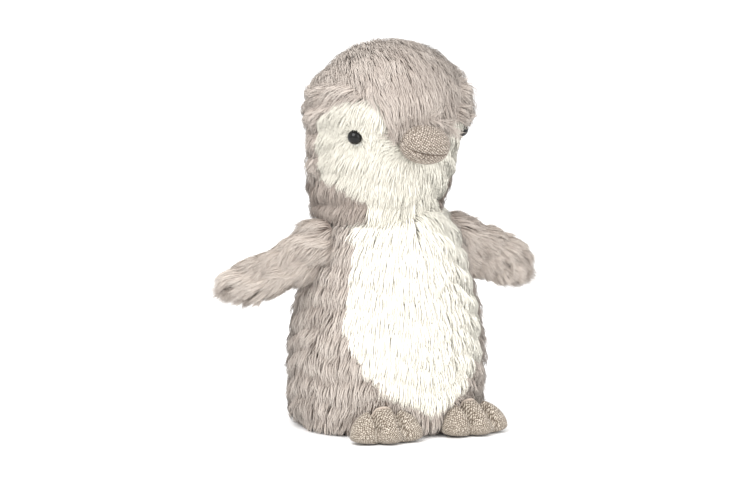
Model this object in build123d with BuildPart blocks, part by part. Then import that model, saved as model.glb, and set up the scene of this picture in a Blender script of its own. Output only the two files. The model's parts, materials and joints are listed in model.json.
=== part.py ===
from build123d import *
import os
from math import cos, radians, sin, sqrt, tan

# Plush penguin, standing, wings held out. Millimetres, +Z up. The penguin faces -Y and its left side is +X.
# The origin is the middle of the flat base, on the surface that the penguin stands on.
# Every plush skin is drawn out to the tips of its pile, so the box of the model is the box of the toy.

os.makedirs("parts", exist_ok=True)

# Skin and general
HEIGHT = 200.0
SKIN = 5.0  # plush: backing cloth and the pile lying on it
LINEN = 1.2  # woven cloth of the beak and the feet
REACH = 70.0  # long enough to pass right through the body

# Torso: arcs of (radius, height) at the pile tips, one round the base's edge and one up the side
BASE_RADIUS = 43.0
BASE_THICKNESS = 3.0
BASE_CORNER = [(BASE_RADIUS, 0.0), (48.2, 3.6), (50.0, 10.0)]
TORSO_WAIST = (48.5, 50.0)

# Neck: torso and head meet round a ball of firm stuffing, with a wedge of room to nod in
NECK_HEIGHT = 114.0
NECK_RADIUS = 33.0
NECK_WEDGE = 7.0  # degrees, above and below the neck's middle plane
BALL_RADIUS = 20.0
BALL_GAP = 0.3

# Head: a round crown that overhangs the cheeks a little
CROWN_RADIUS = 44.6
CROWN_EDGE = 162.5  # height at which the crown ends and the cheeks begin
CHEEK_HEIGHT = 140.0
CHEEK_RADIUS = 39.8
GUSSET_HALF = 28.0  # half width of the strip over the crown
BEAK_CENTRE = (0.0, -40.5, 149.5)
BEAK_HALF_WIDTH = 13.3
BEAK_HALF_DEPTH = 10.3
BEAK_BACK = -39.5  # the flat back of the beak, just clear of the stuffing
MOUTH_SLOPE = 27.0  # degrees, down towards the tip

# Eyes
EYE_ANGLE = 52.0  # degrees round from the beak
EYE_HEIGHT = 152.4
EYE_SEAT = 38.4  # distance of the flat back of the eye from the axis
EYE_RADIUS = 3.8
SHANK_RADIUS = 1.2
SHANK_LENGTH = 8.0
WASHER_RADIUS = 5.0
WASHER_THICKNESS = 1.2
WASHER_DEPTH = 2.6  # from the eye's seat to the middle of the washer

# Bean pouch in the base
POUCH_CLOTH = 0.6
PELLET_RADIUS = 2.6
PELLET_PITCH = 6.2

# Wings: flat paddles, hinged on the side seams
WING_ROOT = (47.5, 2.0, 92.0)
WING_DROOP = 23.0  # degrees below the horizontal
WING_SWEEP = 7.0  # degrees towards the back
WING_ROOT_RADIUS = 8.5
WING_TIP_RADIUS = 15.0
WING_LENGTH = 49.0  # from the hinge to the tip
WING_HALF_THICKNESS = 5.0
WING_SKIN = 3.0
ARMHOLE_GAP = 0.4

# Feet: linen pads with three toes, sewn to the front of the base seam
FOOT_X = 18.5
FOOT_SPLAY = 8.0  # degrees outward
FOOT_BACK = -38.0
TOE_RADIUS = 7.0
TOE_SPACING = 12.0
TOE_TIP = -59.0
TOE_SETBACK = 3.5  # how far the outer toes stand behind the middle one
FOOT_HINGE_Y = -43.0
FOOT_HINGE_Z = 16.0
FOOT_SLOPE = 28.0  # degrees, down towards the toes
FOOT_GAP = 0.6  # between a foot and the torso
STITCH_WIDTH = 0.9
STITCH_DEPTH = 0.6


def finish(name, piece):
    """Labels a finished piece and writes it to its own file."""
    piece.label = name
    export_step(piece, f"parts/{name}.step")


def neck_point(radius, side):
    """A point on the neck's sloping faces: side -1 on the torso, +1 on the head."""
    return (radius, NECK_HEIGHT + side * radius * tan(radians(NECK_WEDGE)))


def neck_socket(side):
    """The arc of the socket round the neck ball: its rim, middle and end on the axis."""
    radius = BALL_RADIUS + BALL_GAP
    arc = []
    for angle in (NECK_WEDGE, 45.0, 90.0):
        arc.append((radius * cos(radians(angle)), NECK_HEIGHT + side * radius * sin(radians(angle))))
    return arc


def torso_side(shrink):
    """The torso's arcs, smaller by a skin's thickness: the base's edge, then the side up to the neck."""
    corner = [(radius - shrink, max(height, 0.0)) for radius, height in BASE_CORNER]
    waist = (TORSO_WAIST[0] - shrink, TORSO_WAIST[1])
    return corner, [corner[-1], waist, neck_point(NECK_RADIUS - shrink, -1)]


def head_side(shrink):
    """The head's arcs, smaller by a skin's thickness: the cheek up from the neck, then the crown."""
    radius = CROWN_RADIUS - shrink
    middle = HEIGHT - CROWN_RADIUS
    rise = CROWN_EDGE - middle
    edge = (sqrt(radius**2 - rise**2), CROWN_EDGE)
    shoulder = (radius * cos(radians(45)), middle + radius * sin(radians(45)))
    cheek = [neck_point(NECK_RADIUS - shrink, 1), (CHEEK_RADIUS - shrink, CHEEK_HEIGHT), edge]
    return cheek, [edge, shoulder, (0.0, middle + radius)]


def radial_plane(angle, radius, height):
    """A plane that faces outward from the axis, its angle measured from the front towards the left."""
    out = (sin(radians(angle)), -cos(radians(angle)), 0.0)
    return Plane(origin=(radius * out[0], radius * out[1], height), x_dir=(0, 0, 1), z_dir=out)


# ---------------------------------------------------------------- torso

OUTER_CORNER, OUTER_SIDE = torso_side(0)
INNER_SIDE = torso_side(SKIN)[1]
INNER_CORNER = [(BASE_RADIUS - 1.5, BASE_THICKNESS), (44.2, 6.0), INNER_SIDE[0]]

# The whole torso with a gap round it, used for cutting room in the feet
with BuildPart() as torso_room:
    corner, side = torso_side(-FOOT_GAP)
    with BuildSketch(Plane.YZ):
        with BuildLine():
            ThreePointArc(*corner)
            ThreePointArc(*side)
            Polyline(side[-1], (0, side[-1][1]), (0, 0), corner[0])
        make_face()
    revolve(axis=Axis.Z)

with BuildPart() as torso_skin:
    with BuildSketch(Plane.YZ):
        with BuildLine():
            ThreePointArc(*OUTER_CORNER)
            ThreePointArc(*OUTER_SIDE)
            Line(OUTER_SIDE[-1], INNER_SIDE[-1])
            ThreePointArc(*INNER_SIDE)
            ThreePointArc(*INNER_CORNER)
            Polyline(INNER_CORNER[0], (BASE_RADIUS, BASE_THICKNESS), (BASE_RADIUS, 0))
        make_face()
    revolve(axis=Axis.Z)

# An armhole in each side seam takes the rounded root of a wing
WING_ALONG = (
    cos(radians(WING_SWEEP)) * cos(radians(WING_DROOP)),
    sin(radians(WING_SWEEP)) * cos(radians(WING_DROOP)),
    -sin(radians(WING_DROOP)),
)
WING_FACE = (sin(radians(WING_SWEEP)), -cos(radians(WING_SWEEP)), 0.0)
WING_PLANE = Plane(origin=WING_ROOT, x_dir=WING_ALONG, z_dir=WING_FACE)

with BuildPart() as armholes:
    with BuildSketch(WING_PLANE):
        Circle(WING_ROOT_RADIUS + ARMHOLE_GAP)
    extrude(amount=WING_HALF_THICKNESS + ARMHOLE_GAP, both=True)
    mirror(about=Plane.YZ)

# The white front, drawn as it looks from the front
BELLY_FOOT = [(0, 4), (20, 10), (33, 24)]
BELLY_SIDE = [(33, 24), (37.5, 58), (24, NECK_HEIGHT)]
with BuildPart() as belly_cutter:
    with BuildSketch(Plane.XZ):
        with BuildLine():
            ThreePointArc(*BELLY_FOOT)
            ThreePointArc(*BELLY_SIDE)
            Polyline(BELLY_SIDE[-1], (0, NECK_HEIGHT), (0, 4))
        make_face()
        mirror(about=Plane.YZ)
    extrude(amount=REACH)

with BuildPart() as belly_panel:
    add(torso_skin.part)
    add(belly_cutter.part, mode=Mode.INTERSECT)
finish("belly_panel", belly_panel.part)

with BuildPart() as back_panel_left:
    add(torso_skin.part)
    add(belly_cutter.part, mode=Mode.SUBTRACT)
    add(armholes.part, mode=Mode.SUBTRACT)
    split(bisect_by=Plane.YZ, keep=Keep.TOP)
finish("back_panel_left", back_panel_left.part)

with BuildPart() as back_panel_right:
    mirror(back_panel_left.part, about=Plane.YZ)
finish("back_panel_right", back_panel_right.part)

with BuildPart() as base_panel:
    with BuildSketch():
        Circle(BASE_RADIUS)
    extrude(amount=BASE_THICKNESS)
finish("base_panel", base_panel.part)

# Bean pouch: a low cushion of thin cloth on the base panel
POUCH_FLOOR = BASE_THICKNESS
POUCH_RADIUS = 36.0
POUCH_HEIGHT = 18.0
POUCH_ROUNDING = 6.0


def pouch_form(shrink):
    """The pouch's cushion shape, smaller all round by a cloth thickness."""
    with BuildPart(mode=Mode.PRIVATE) as made:
        with BuildSketch(Plane.XY.offset(POUCH_FLOOR + shrink)):
            Circle(POUCH_RADIUS - shrink)
        extrude(amount=POUCH_HEIGHT - 2 * shrink)
        fillet(edges().filter_by(GeomType.CIRCLE), POUCH_ROUNDING - shrink)
    return made.part


POUCH_BLOCK = pouch_form(0)
with BuildPart() as bean_pouch:
    add(POUCH_BLOCK)
    add(pouch_form(POUCH_CLOTH), mode=Mode.SUBTRACT)
finish("bean_pouch", bean_pouch.part)

# Pellets: rings of beads, a wide layer under a narrow one
with BuildPart() as bean_pellets:
    for layer, rings in enumerate((6, 4)):
        height = POUCH_FLOOR + POUCH_CLOTH + PELLET_RADIUS + 0.2 + layer * PELLET_PITCH
        for ring in range(rings):
            ring_radius = ring * PELLET_PITCH * 0.92
            count = max(1, int(6.283 * ring_radius / PELLET_PITCH))
            with Locations((0, 0, height)):
                with PolarLocations(ring_radius, count):
                    Sphere(PELLET_RADIUS)
finish("bean_pellets", bean_pellets.part)

with BuildPart() as torso_stuffing:
    with BuildSketch(Plane.YZ):
        with BuildLine():
            ThreePointArc(*INNER_CORNER)
            ThreePointArc(*INNER_SIDE)
            Line(INNER_SIDE[-1], neck_socket(-1)[0])
            ThreePointArc(*neck_socket(-1))
            Polyline(neck_socket(-1)[-1], (0, BASE_THICKNESS), INNER_CORNER[0])
        make_face()
    revolve(axis=Axis.Z)
    add(POUCH_BLOCK, mode=Mode.SUBTRACT)
    add(armholes.part, mode=Mode.SUBTRACT)
finish("torso_stuffing", torso_stuffing.part)

# ---------------------------------------------------------------- neck

with BuildPart() as neck_stuffing:
    with Locations((0, 0, NECK_HEIGHT)):
        Sphere(BALL_RADIUS)
finish("neck_stuffing", neck_stuffing.part)

# ---------------------------------------------------------------- head

OUTER_CHEEK, OUTER_CROWN = head_side(0)
INNER_CHEEK, INNER_CROWN = head_side(SKIN)

with BuildPart() as head_skin:
    with BuildSketch(Plane.YZ):
        with BuildLine():
            ThreePointArc(*OUTER_CHEEK)
            ThreePointArc(*OUTER_CROWN)
            Line(OUTER_CROWN[-1], INNER_CROWN[-1])
            ThreePointArc(*INNER_CROWN)
            ThreePointArc(*INNER_CHEEK)
            Line(INNER_CHEEK[0], OUTER_CHEEK[0])
        make_face()
    revolve(axis=Axis.Z)

# The beak: a pillow, longer across than it is deep
MOUTH_PLANE = Plane(
    origin=BEAK_CENTRE,
    x_dir=(1, 0, 0),
    z_dir=(0, -sin(radians(MOUTH_SLOPE)), cos(radians(MOUTH_SLOPE))),
)


def pillow(shrink):
    """The beak's round-ended form, smaller all round by a cloth thickness."""
    with BuildPart(mode=Mode.PRIVATE) as made:
        with BuildSketch(Plane.XY.move(Location(BEAK_CENTRE))):
            SlotOverall(2 * (BEAK_HALF_WIDTH - shrink), 2 * (BEAK_HALF_DEPTH - shrink))
            split(bisect_by=Plane.XZ, keep=Keep.TOP)
        revolve(axis=Axis(BEAK_CENTRE, (1, 0, 0)))
    return made.part


BEAK_WHOLE = pillow(0)
BEAK_CORE = pillow(LINEN)
with BuildPart() as beak_room:
    with BuildSketch(Plane.XZ.offset(-BEAK_BACK)):
        Rectangle(REACH, 4 * HEIGHT)
    extrude(amount=REACH)
for name, kept in (("beak_upper_panel", Keep.TOP), ("beak_lower_panel", Keep.BOTTOM)):
    with BuildPart() as beak_panel:
        add(BEAK_WHOLE)
        add(BEAK_CORE, mode=Mode.SUBTRACT)
        add(beak_room.part, mode=Mode.INTERSECT)
        split(bisect_by=MOUTH_PLANE, keep=kept)
    finish(name, beak_panel.part)

with BuildPart() as beak_wadding:
    add(BEAK_CORE)
    add(beak_room.part, mode=Mode.INTERSECT)
finish("beak_wadding", beak_wadding.part)

# Eyes: a half bead on a ridged shank, held by a washer inside the skin
EYE_PLANES = {"left": radial_plane(EYE_ANGLE, EYE_SEAT, EYE_HEIGHT)}
EYE_PLANES["right"] = radial_plane(-EYE_ANGLE, EYE_SEAT, EYE_HEIGHT)
INWARD = (Align.CENTER, Align.CENTER, Align.MAX)
OUTWARD = (Align.CENTER, Align.CENTER, Align.MIN)
RIDGES = (-5.0, -6.0, -7.0)
for side, seat in EYE_PLANES.items():
    with BuildPart(seat) as eye:
        Sphere(EYE_RADIUS, arc_size1=0, align=OUTWARD)
        Cylinder(SHANK_RADIUS, SHANK_LENGTH, align=INWARD)
        for depth in RIDGES:
            with Locations((0, 0, depth)):
                Cone(SHANK_RADIUS, SHANK_RADIUS + 0.4, 0.6)
    finish(f"eye_{side}", eye.part)
    with BuildPart(seat.offset(-WASHER_DEPTH)) as eye_washer:
        Cylinder(WASHER_RADIUS, WASHER_THICKNESS)
        Cylinder(SHANK_RADIUS, 2 * WASHER_THICKNESS, mode=Mode.SUBTRACT)
    finish(f"eye_washer_{side}", eye_washer.part)

with BuildPart() as eye_pockets:
    for seat in EYE_PLANES.values():
        with BuildSketch(seat):
            Circle(EYE_RADIUS + 0.2)
        extrude(amount=SKIN + 2)
        with BuildSketch(seat):
            Circle(SHANK_RADIUS)
        extrude(amount=-SHANK_LENGTH)

with BuildPart() as washer_pockets:
    for seat in EYE_PLANES.values():
        with BuildSketch(seat):
            Circle(WASHER_RADIUS + 0.3)
        extrude(amount=-SHANK_LENGTH - 0.5)

# Face: a white cheek patch on each side, drawn as it looks from the side, as far as the crown's strip
PATCH_BACK = [(-8, 169), (8, 150), (2, 126)]
PATCH_FOOT = [(2, 126), (-20, 114), (-REACH, 100), (-REACH, 169), (-8, 169)]
TONGUE_TIP = [(0, 144), (12, 147), (20, 157)]
TONGUE_SIDE = [(20, 157), (GUSSET_HALF, 171), (GUSSET_HALF, HEIGHT), (0, HEIGHT), (0, 144)]
with BuildPart() as white_room:
    with BuildSketch(Plane.YZ):
        with BuildLine():
            ThreePointArc(*PATCH_BACK)
            Polyline(*PATCH_FOOT)
        make_face()
    extrude(amount=REACH, both=True)
    with BuildSketch(Plane.XZ.offset(-REACH)):
        with BuildLine():
            ThreePointArc(*TONGUE_TIP)
            Polyline(*TONGUE_SIDE)
        make_face()
        mirror(about=Plane.YZ)
    extrude(amount=2 * REACH, mode=Mode.SUBTRACT)

# The strip over the crown narrows down the nape
STRIP_EDGE = [(0, 100), (18, 100), (GUSSET_HALF, 150), (GUSSET_HALF, HEIGHT + 5), (0, HEIGHT + 5)]
with BuildPart() as crown_strip:
    with BuildSketch(Plane.XZ):
        with BuildLine():
            Polyline(*STRIP_EDGE, close=True)
        make_face()
        mirror(about=Plane.YZ)
    extrude(amount=REACH, both=True)

with BuildPart() as face_panel_left:
    add(head_skin.part)
    add(white_room.part, mode=Mode.INTERSECT)
    split(bisect_by=Plane.YZ, keep=Keep.TOP)
    add(BEAK_WHOLE, mode=Mode.SUBTRACT)
    add(eye_pockets.part, mode=Mode.SUBTRACT)
finish("face_panel_left", face_panel_left.part)

with BuildPart() as face_panel_right:
    mirror(face_panel_left.part, about=Plane.YZ)
finish("face_panel_right", face_panel_right.part)

with BuildPart() as crown_gusset:
    add(head_skin.part)
    add(crown_strip.part, mode=Mode.INTERSECT)
    add(white_room.part, mode=Mode.SUBTRACT)
    add(BEAK_WHOLE, mode=Mode.SUBTRACT)
finish("crown_gusset", crown_gusset.part)

with BuildPart() as head_side_left:
    add(head_skin.part)
    split(bisect_by=Plane.YZ, keep=Keep.TOP)
    add(crown_strip.part, mode=Mode.SUBTRACT)
    add(white_room.part, mode=Mode.SUBTRACT)
finish("head_side_left", head_side_left.part)

with BuildPart() as head_side_right:
    mirror(head_side_left.part, about=Plane.YZ)
finish("head_side_right", head_side_right.part)

with BuildPart() as head_stuffing:
    with BuildSketch(Plane.YZ):
        with BuildLine():
            ThreePointArc(*INNER_CHEEK)
            ThreePointArc(*INNER_CROWN)
            Line(INNER_CROWN[-1], neck_socket(1)[-1])
            ThreePointArc(*neck_socket(1)[::-1])
            Line(neck_socket(1)[0], INNER_CHEEK[0])
        make_face()
    revolve(axis=Axis.Z)
    add(washer_pockets.part, mode=Mode.SUBTRACT)
finish("head_stuffing", head_stuffing.part)

# ---------------------------------------------------------------- wings


def wing_outline(shrink):
    """A paddle: the round root and the round tip, with straight edges between them."""
    Circle(WING_ROOT_RADIUS - shrink)
    with Locations((WING_LENGTH - WING_TIP_RADIUS, 0)):
        Circle(WING_TIP_RADIUS - shrink)
    make_hull()


with BuildPart() as wing_wadding_left:
    with BuildSketch(WING_PLANE):
        wing_outline(WING_SKIN)
    extrude(amount=WING_HALF_THICKNESS - WING_SKIN, both=True)
finish("wing_wadding_left", wing_wadding_left.part)

with BuildPart() as wing_front_left:
    with BuildSketch(WING_PLANE):
        wing_outline(0)
    extrude(amount=WING_HALF_THICKNESS)
    fillet(faces().sort_by(Axis(WING_ROOT, WING_FACE))[-1].edges(), WING_SKIN)
    add(wing_wadding_left.part, mode=Mode.SUBTRACT)
finish("wing_front_left", wing_front_left.part)

with BuildPart() as wing_back_left:
    with BuildSketch(WING_PLANE):
        wing_outline(0)
    extrude(amount=-WING_HALF_THICKNESS)
    fillet(faces().sort_by(Axis(WING_ROOT, WING_FACE))[0].edges(), WING_SKIN)
    add(wing_wadding_left.part, mode=Mode.SUBTRACT)
finish("wing_back_left", wing_back_left.part)

LEFT_WING = {"wing_wadding": wing_wadding_left, "wing_front": wing_front_left, "wing_back": wing_back_left}
for name, left in LEFT_WING.items():
    with BuildPart() as right_piece:
        mirror(left.part, about=Plane.YZ)
    finish(f"{name}_right", right_piece.part)

# ---------------------------------------------------------------- feet

TOES = []
for place in (-1, 0, 1):
    TOES.append((place * TOE_SPACING, TOE_TIP + TOE_RADIUS + abs(place) * TOE_SETBACK))
HEEL = (0.0, FOOT_BACK)
FOOT_PLANE = Plane(origin=(FOOT_X, 0, 0), x_dir=(cos(radians(FOOT_SPLAY)), sin(radians(FOOT_SPLAY)), 0))
FOOT_TOP = Plane(
    origin=(FOOT_X, FOOT_HINGE_Y, FOOT_HINGE_Z),
    x_dir=(1, 0, 0),
    z_dir=(0, -sin(radians(FOOT_SLOPE)), cos(radians(FOOT_SLOPE))),
)


def foot_outline(shrink):
    """Three round toes on a palm that narrows to the heel."""
    with Locations(HEEL):
        Circle(TOE_SPACING - shrink)
    with Locations(*TOES):
        Circle(TOE_RADIUS - shrink - 1)
    make_hull()
    with Locations(*TOES):
        Circle(TOE_RADIUS - shrink)


with BuildPart() as foot_sole_left:
    with BuildSketch(FOOT_PLANE):
        foot_outline(0)
    extrude(amount=LINEN)
    add(torso_room.part, mode=Mode.SUBTRACT)
finish("foot_sole_left", foot_sole_left.part)

with BuildPart() as foot_wadding_left:
    with BuildSketch(FOOT_PLANE.offset(LINEN)):
        foot_outline(LINEN)
    extrude(amount=FOOT_HINGE_Z)
    split(bisect_by=FOOT_TOP.offset(-LINEN), keep=Keep.BOTTOM)
    add(torso_room.part, mode=Mode.SUBTRACT)
finish("foot_wadding_left", foot_wadding_left.part)

# A stitched groove between each pair of toes, its thread level with the cloth
with BuildPart() as toe_stitching_left:
    with BuildSketch(FOOT_PLANE):
        with Locations((-TOE_SPACING / 2, TOE_TIP + 8), (TOE_SPACING / 2, TOE_TIP + 8)):
            Rectangle(STITCH_WIDTH, 9)
    extrude(amount=FOOT_HINGE_Z)
    split(bisect_by=FOOT_TOP, keep=Keep.BOTTOM)
    split(bisect_by=FOOT_TOP.offset(-STITCH_DEPTH), keep=Keep.TOP)
finish("toe_stitching_left", toe_stitching_left.part)

with BuildPart() as foot_upper_left:
    with BuildSketch(FOOT_PLANE.offset(LINEN)):
        foot_outline(0)
    extrude(amount=FOOT_HINGE_Z)
    split(bisect_by=FOOT_TOP, keep=Keep.BOTTOM)
    add(torso_room.part, mode=Mode.SUBTRACT)
    add(foot_wadding_left.part, mode=Mode.SUBTRACT)
    add(toe_stitching_left.part, mode=Mode.SUBTRACT)
finish("foot_upper_left", foot_upper_left.part)

LEFT_FOOT = {
    "foot_sole": foot_sole_left,
    "foot_wadding": foot_wadding_left,
    "toe_stitching": toe_stitching_left,
    "foot_upper": foot_upper_left,
}
for name, left in LEFT_FOOT.items():
    with BuildPart() as right_piece:
        mirror(left.part, about=Plane.YZ)
    finish(f"{name}_right", right_piece.part)
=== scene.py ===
import json
import math

import bpy
import numpy as np
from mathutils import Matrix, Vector


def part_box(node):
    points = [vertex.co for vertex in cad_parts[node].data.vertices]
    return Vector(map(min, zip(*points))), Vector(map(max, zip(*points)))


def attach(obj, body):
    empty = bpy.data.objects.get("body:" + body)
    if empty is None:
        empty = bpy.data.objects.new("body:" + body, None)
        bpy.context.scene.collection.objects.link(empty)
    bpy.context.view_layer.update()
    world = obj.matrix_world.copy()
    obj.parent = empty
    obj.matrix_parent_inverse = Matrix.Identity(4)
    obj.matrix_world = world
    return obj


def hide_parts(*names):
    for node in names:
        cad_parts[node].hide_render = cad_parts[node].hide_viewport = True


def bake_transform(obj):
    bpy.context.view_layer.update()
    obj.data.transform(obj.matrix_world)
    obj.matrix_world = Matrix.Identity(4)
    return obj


# Plush penguin: the looks. The penguin faces -Y and its left side is +X. Each plush panel is a closed
# skin with a pile of closed strands on it. Lengths here are millimetres, and turn into metres when a
# mesh is made.
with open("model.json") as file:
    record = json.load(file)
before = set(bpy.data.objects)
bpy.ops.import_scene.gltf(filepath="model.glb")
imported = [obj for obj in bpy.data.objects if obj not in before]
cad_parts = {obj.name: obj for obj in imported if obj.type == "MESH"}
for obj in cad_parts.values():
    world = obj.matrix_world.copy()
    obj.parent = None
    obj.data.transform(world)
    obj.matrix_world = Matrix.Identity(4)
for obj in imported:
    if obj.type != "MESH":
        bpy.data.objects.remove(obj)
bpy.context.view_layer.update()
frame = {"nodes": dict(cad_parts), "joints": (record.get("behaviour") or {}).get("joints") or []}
MM = 0.001


def joint_place(name):
    """Where a joint is, in millimetres."""
    found = next(joint for joint in frame["joints"] if joint["name"] == name)
    return np.array(found["pos_m"]) / MM


def middle(node):
    """The middle of a CAD piece, in millimetres."""
    low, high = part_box(node)
    return np.array((low + high) / 2) / MM


# ---------------------------------------------------------------- measures

# Skins under the pile, as (radius, height) from the bottom up
TORSO_SKIN = [
    (38.5, 1.2),
    (43.0, 5.0),
    (45.6, 13.0),
    (46.2, 27.0),
    (45.0, 50.0),
    (40.0, 76.0),
    (34.0, 96.0),
    (27.0, 108.0),
    (23.0, 111.5),
]
NECK_SKIN = [(25.5, 103.0), (28.6, 110.0), (28.8, 117.0), (27.0, 124.0)]
HEAD_SKIN = [
    (24.5, 113.2),
    (29.4, 118.5),
    (32.6, 129.0),
    (34.4, 142.0),
    (36.2, 153.0),
    (38.0, 162.0),
    (35.6, 172.0),
    (28.2, 182.0),
    (20.0, 188.2),
    (11.0, 192.2),
    (0.0, 193.6),
]
# The head sits a little askew: how far its middle is off the axis, as (height, towards the left, towards
# the back)
HEAD_LEAN = [
    (103, -2.0, 2.0),
    (112, -4.0, 2.5),
    (120, -3.6, 2.2),
    (130, -2.2, 1.6),
    (142, -1.0, 1.0),
    (152, 0.2, 0.5),
    (165, 1.0, 0.0),
    (182, 1.6, -1.2),
    (194, 1.2, -2.0),
]

# Edge of the white belly: (height, half width)
BELLY_EDGE = np.array(
    [(18, 0), (23, 12), (31, 24), (43, 32.5), (60, 35), (80, 31.5), (100, 25.5), (114, 22)], float
)
# Edge of the strip over the crown, in front and behind: (height, half width)
CROWN_EDGE = np.array(
    [(144, 0), (148, 10), (152, 14), (160, 17), (170, 21), (178, 26), (200, 28)], float
)
CROWN_BACK = np.array([(110, 18), (150, 28), (200, 28)], float)
WHORL_BACK = 20.0  # the crown's pile is combed apart from here, behind the axis
# Lower edge of the white face: (degrees round from the front, height)
CHIN_EDGE = np.array([(0, 112), (22, 113), (40, 120), (51, 126), (66, 131), (100, 133)], float)
FACE_BACK = 88.0  # degrees round from the front
# Upper edge of the white face: (degrees round from the front, height)
FACE_TOP = np.array([(0, 173), (58, 172), (72, 167), (88, 158)], float)
COMBED_OVER = 13.0  # how much lower the taupe comes on the left side, where it is combed over the face
BIB_SIDE = 44.0  # degrees round from the front to the edge of the neck's white part

# In the tables by side, -1 is the right and 1 is the left
EYE_ANGLE = 52.0  # degrees round from the front
EYE_HEIGHT = middle("eye_left")[2]
EYE_OUT = 40.0  # from the axis to the middle of the bead
EYE_CLEAR = {-1: 4.8, 1: 3.4}  # bare round the middle of the bead; the left eye is deeper in the pile

BEAK = np.array([0.0, -41.0, 149.0])
BEAK_ROLL = math.radians(10)  # its left end is the lower one
BEAK_HALF_WIDTH = 13.2
BEAK_HALF_DEPTH = 10.2
MOUTH = -31.0  # degrees below straight ahead, round the beak's own left to right axis
BEAK_BACK = 125.0  # degrees from straight ahead at which the cloth ends, inside the head
BEAK_ROOT = 12.0  # how far that is behind the beak's widest part
BEAK_REACH = 89.9  # degrees from the middle of the beak to its corners, seen from above
BEAK_FULLNESS = 0.78  # under 1, so that the corners are blunter than an ellipse's
BEAK_NARROWING = 0.4  # share of its size that it loses inside the head
MOUTH_PINCH = 0.16  # how far the mouth seam draws the cloth in, as a share of the depth
MOUTH_PINCH_WIDTH = 6.0  # degrees
MOUTH_PUCKER = 0.012  # small gathers along the seam
MOUTH_PUCKER_WIDTH = 16.0  # degrees
MOUTH_PUCKER_RATE = 23
MOUTH_THREAD_RADIUS = 0.35

# Wings: (distance from the hinge, half width, half thickness) of the skin
WING_SKIN = [
    (-12.0, 7.8, 6.3),
    (0.0, 7.9, 6.0),
    (12.0, 7.9, 5.4),
    (22.0, 7.8, 4.7),
    (29.0, 7.0, 3.9),
    (34.0, 5.4, 2.9),
    (37.0, 3.0, 1.8),
    (38.0, 0.0, 0.0),
]
WING_DROP = 3.6  # the visible wing hangs this much below the hinge's line
# Shoulder, the plush that joins a wing to the torso: measured as the wing is
SHOULDER_SKIN = [
    (-19.0, 9.0, 6.5),
    (-13.0, 9.6, 8.0),
    (-5.0, 9.4, 7.6),
    (4.0, 8.6, 6.6),
    (13.0, 7.9, 5.5),
]
WING_DROOP = math.radians(21)
WING_SWEEP = math.radians(7)  # towards the back
WING_LONG = {-1: 1.0, 1: 0.95}  # the left wing is a little shorter
WING_WIDE = {-1: 1.0, 1: 1.15}  # and lies flatter and wider
WING_SAG = {-1: 3.2, 1: 0.0}  # how far the right wing's ends are above its middle
WING_MIDDLE = 12.0  # from the hinge
WING_END = 26.0  # from the wing's middle

FOOT_X = 18.5
FOOT_SPLAY = math.radians(8)
FOOT_CENTRE = (0.0, -47.0)
FOOT_PAD = (17.0, 7.0)  # half width and half depth of the pad behind the toes
TOES = [(-12.0, -48.4), (0.0, -52.0), (12.0, -48.4)]
TOE_RADIUS = 7.0
FOOT_BLEND = 14  # power that joins the toes and the pad: the higher, the sharper the notches
FOOT_CUT = 1.3  # size of the cloth cut for the domed upper, to the foot's own size
FOOT_SOLE = 0.5
FOOT_EDGE = 3.4  # height of the seam round the foot
FOOT_TOP = 17.2
TOE_TOP = 6.5
TOE_SLOPE = 0.55  # fall towards the toes
TOE_SLOPE_START = -44.0
CREASE_SIDE = 6.1  # from the foot's middle
CREASE_WIDTH = 1.6
CREASE_DEPTH = 5.0
CREASE_START = -38.5
CREASE_FADE = 8.0
WELT_START = 0.27  # turns round the foot
WELT_END = 0.73
WELT_HIGH = 0.74  # share of the way up the upper, at the back of the foot
WELT_FALL = 0.55  # how much lower the welt's ends are
WELT_RADIUS = 0.8

# Pile: strands lean over in locks, and the locks lie in loose rows
PILE_LENGTH = 11.5
PILE_LIFT = 4.2
PILE_WIDTH = 0.36
ROW_PITCH = 11.5
FLOOR_GAP = 0.6  # no strand comes nearer to the floor
LOCK_LENGTHS = (0.85, 1.15)  # from lock to lock, lengths and lifts vary between these shares
STRAND_LENGTHS = (0.78, 1.06)
LOCK_LIFTS = (0.8, 1.2)
STRAND_LIFTS = (0.55, 1.08)
STRAY = 0.06  # radians that single strands turn within their lock
LOCK_TONES = 0.12
STRAND_TONES = 0.17
STEEPEST = 0.75  # how much of the flow may point out of the skin
SHORT_LENGTH = 0.45  # share of its length that short pile loses
SHORT_LIFT = 0.35
# A strand's four points, as shares of its length, of its lift and of the way to the lock's middle
STRAND_PATH = ((0, 0, 0), (0.26, 0.72, 0.25), (0.62, 1.0, 0.65), (1.0, 0.86, 1.0))

# Where the pile is parted or short: a strength, and the distance over which it fades
SHORT_BELOW = 14.0  # height above the floor
ANKLE = np.array([24.5, -42.0, 8.0])
ANKLE_RADIUS = 16.0
ANKLE_SHORT = (1.6, 4.0)
EYE_PARTING = (1.1, 2.6)
EYE_FRINGE = (1.3, 9.0)  # the longer pile in front of the left eye
BEAK_PARTING = (1.2, 3.0)
BEAK_SHORT = 0.9
BEAK_STEM = (9.7, 7.7)  # half width and half depth where the beak enters the face
FACE_DEPTH = -15.0  # the face is in front of this


# ---------------------------------------------------------------- curves and surfaces


def read(table, at):
    """The second column of a table at places of its first."""
    return np.interp(at, table[:, 0], table[:, 1])


def hump(distance, width):
    return np.exp(-((distance / width) ** 2))


def fade(distance, width):
    """1 up to distance 0, and then fading away."""
    return np.exp(-np.maximum(distance, 0) / width)


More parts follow.
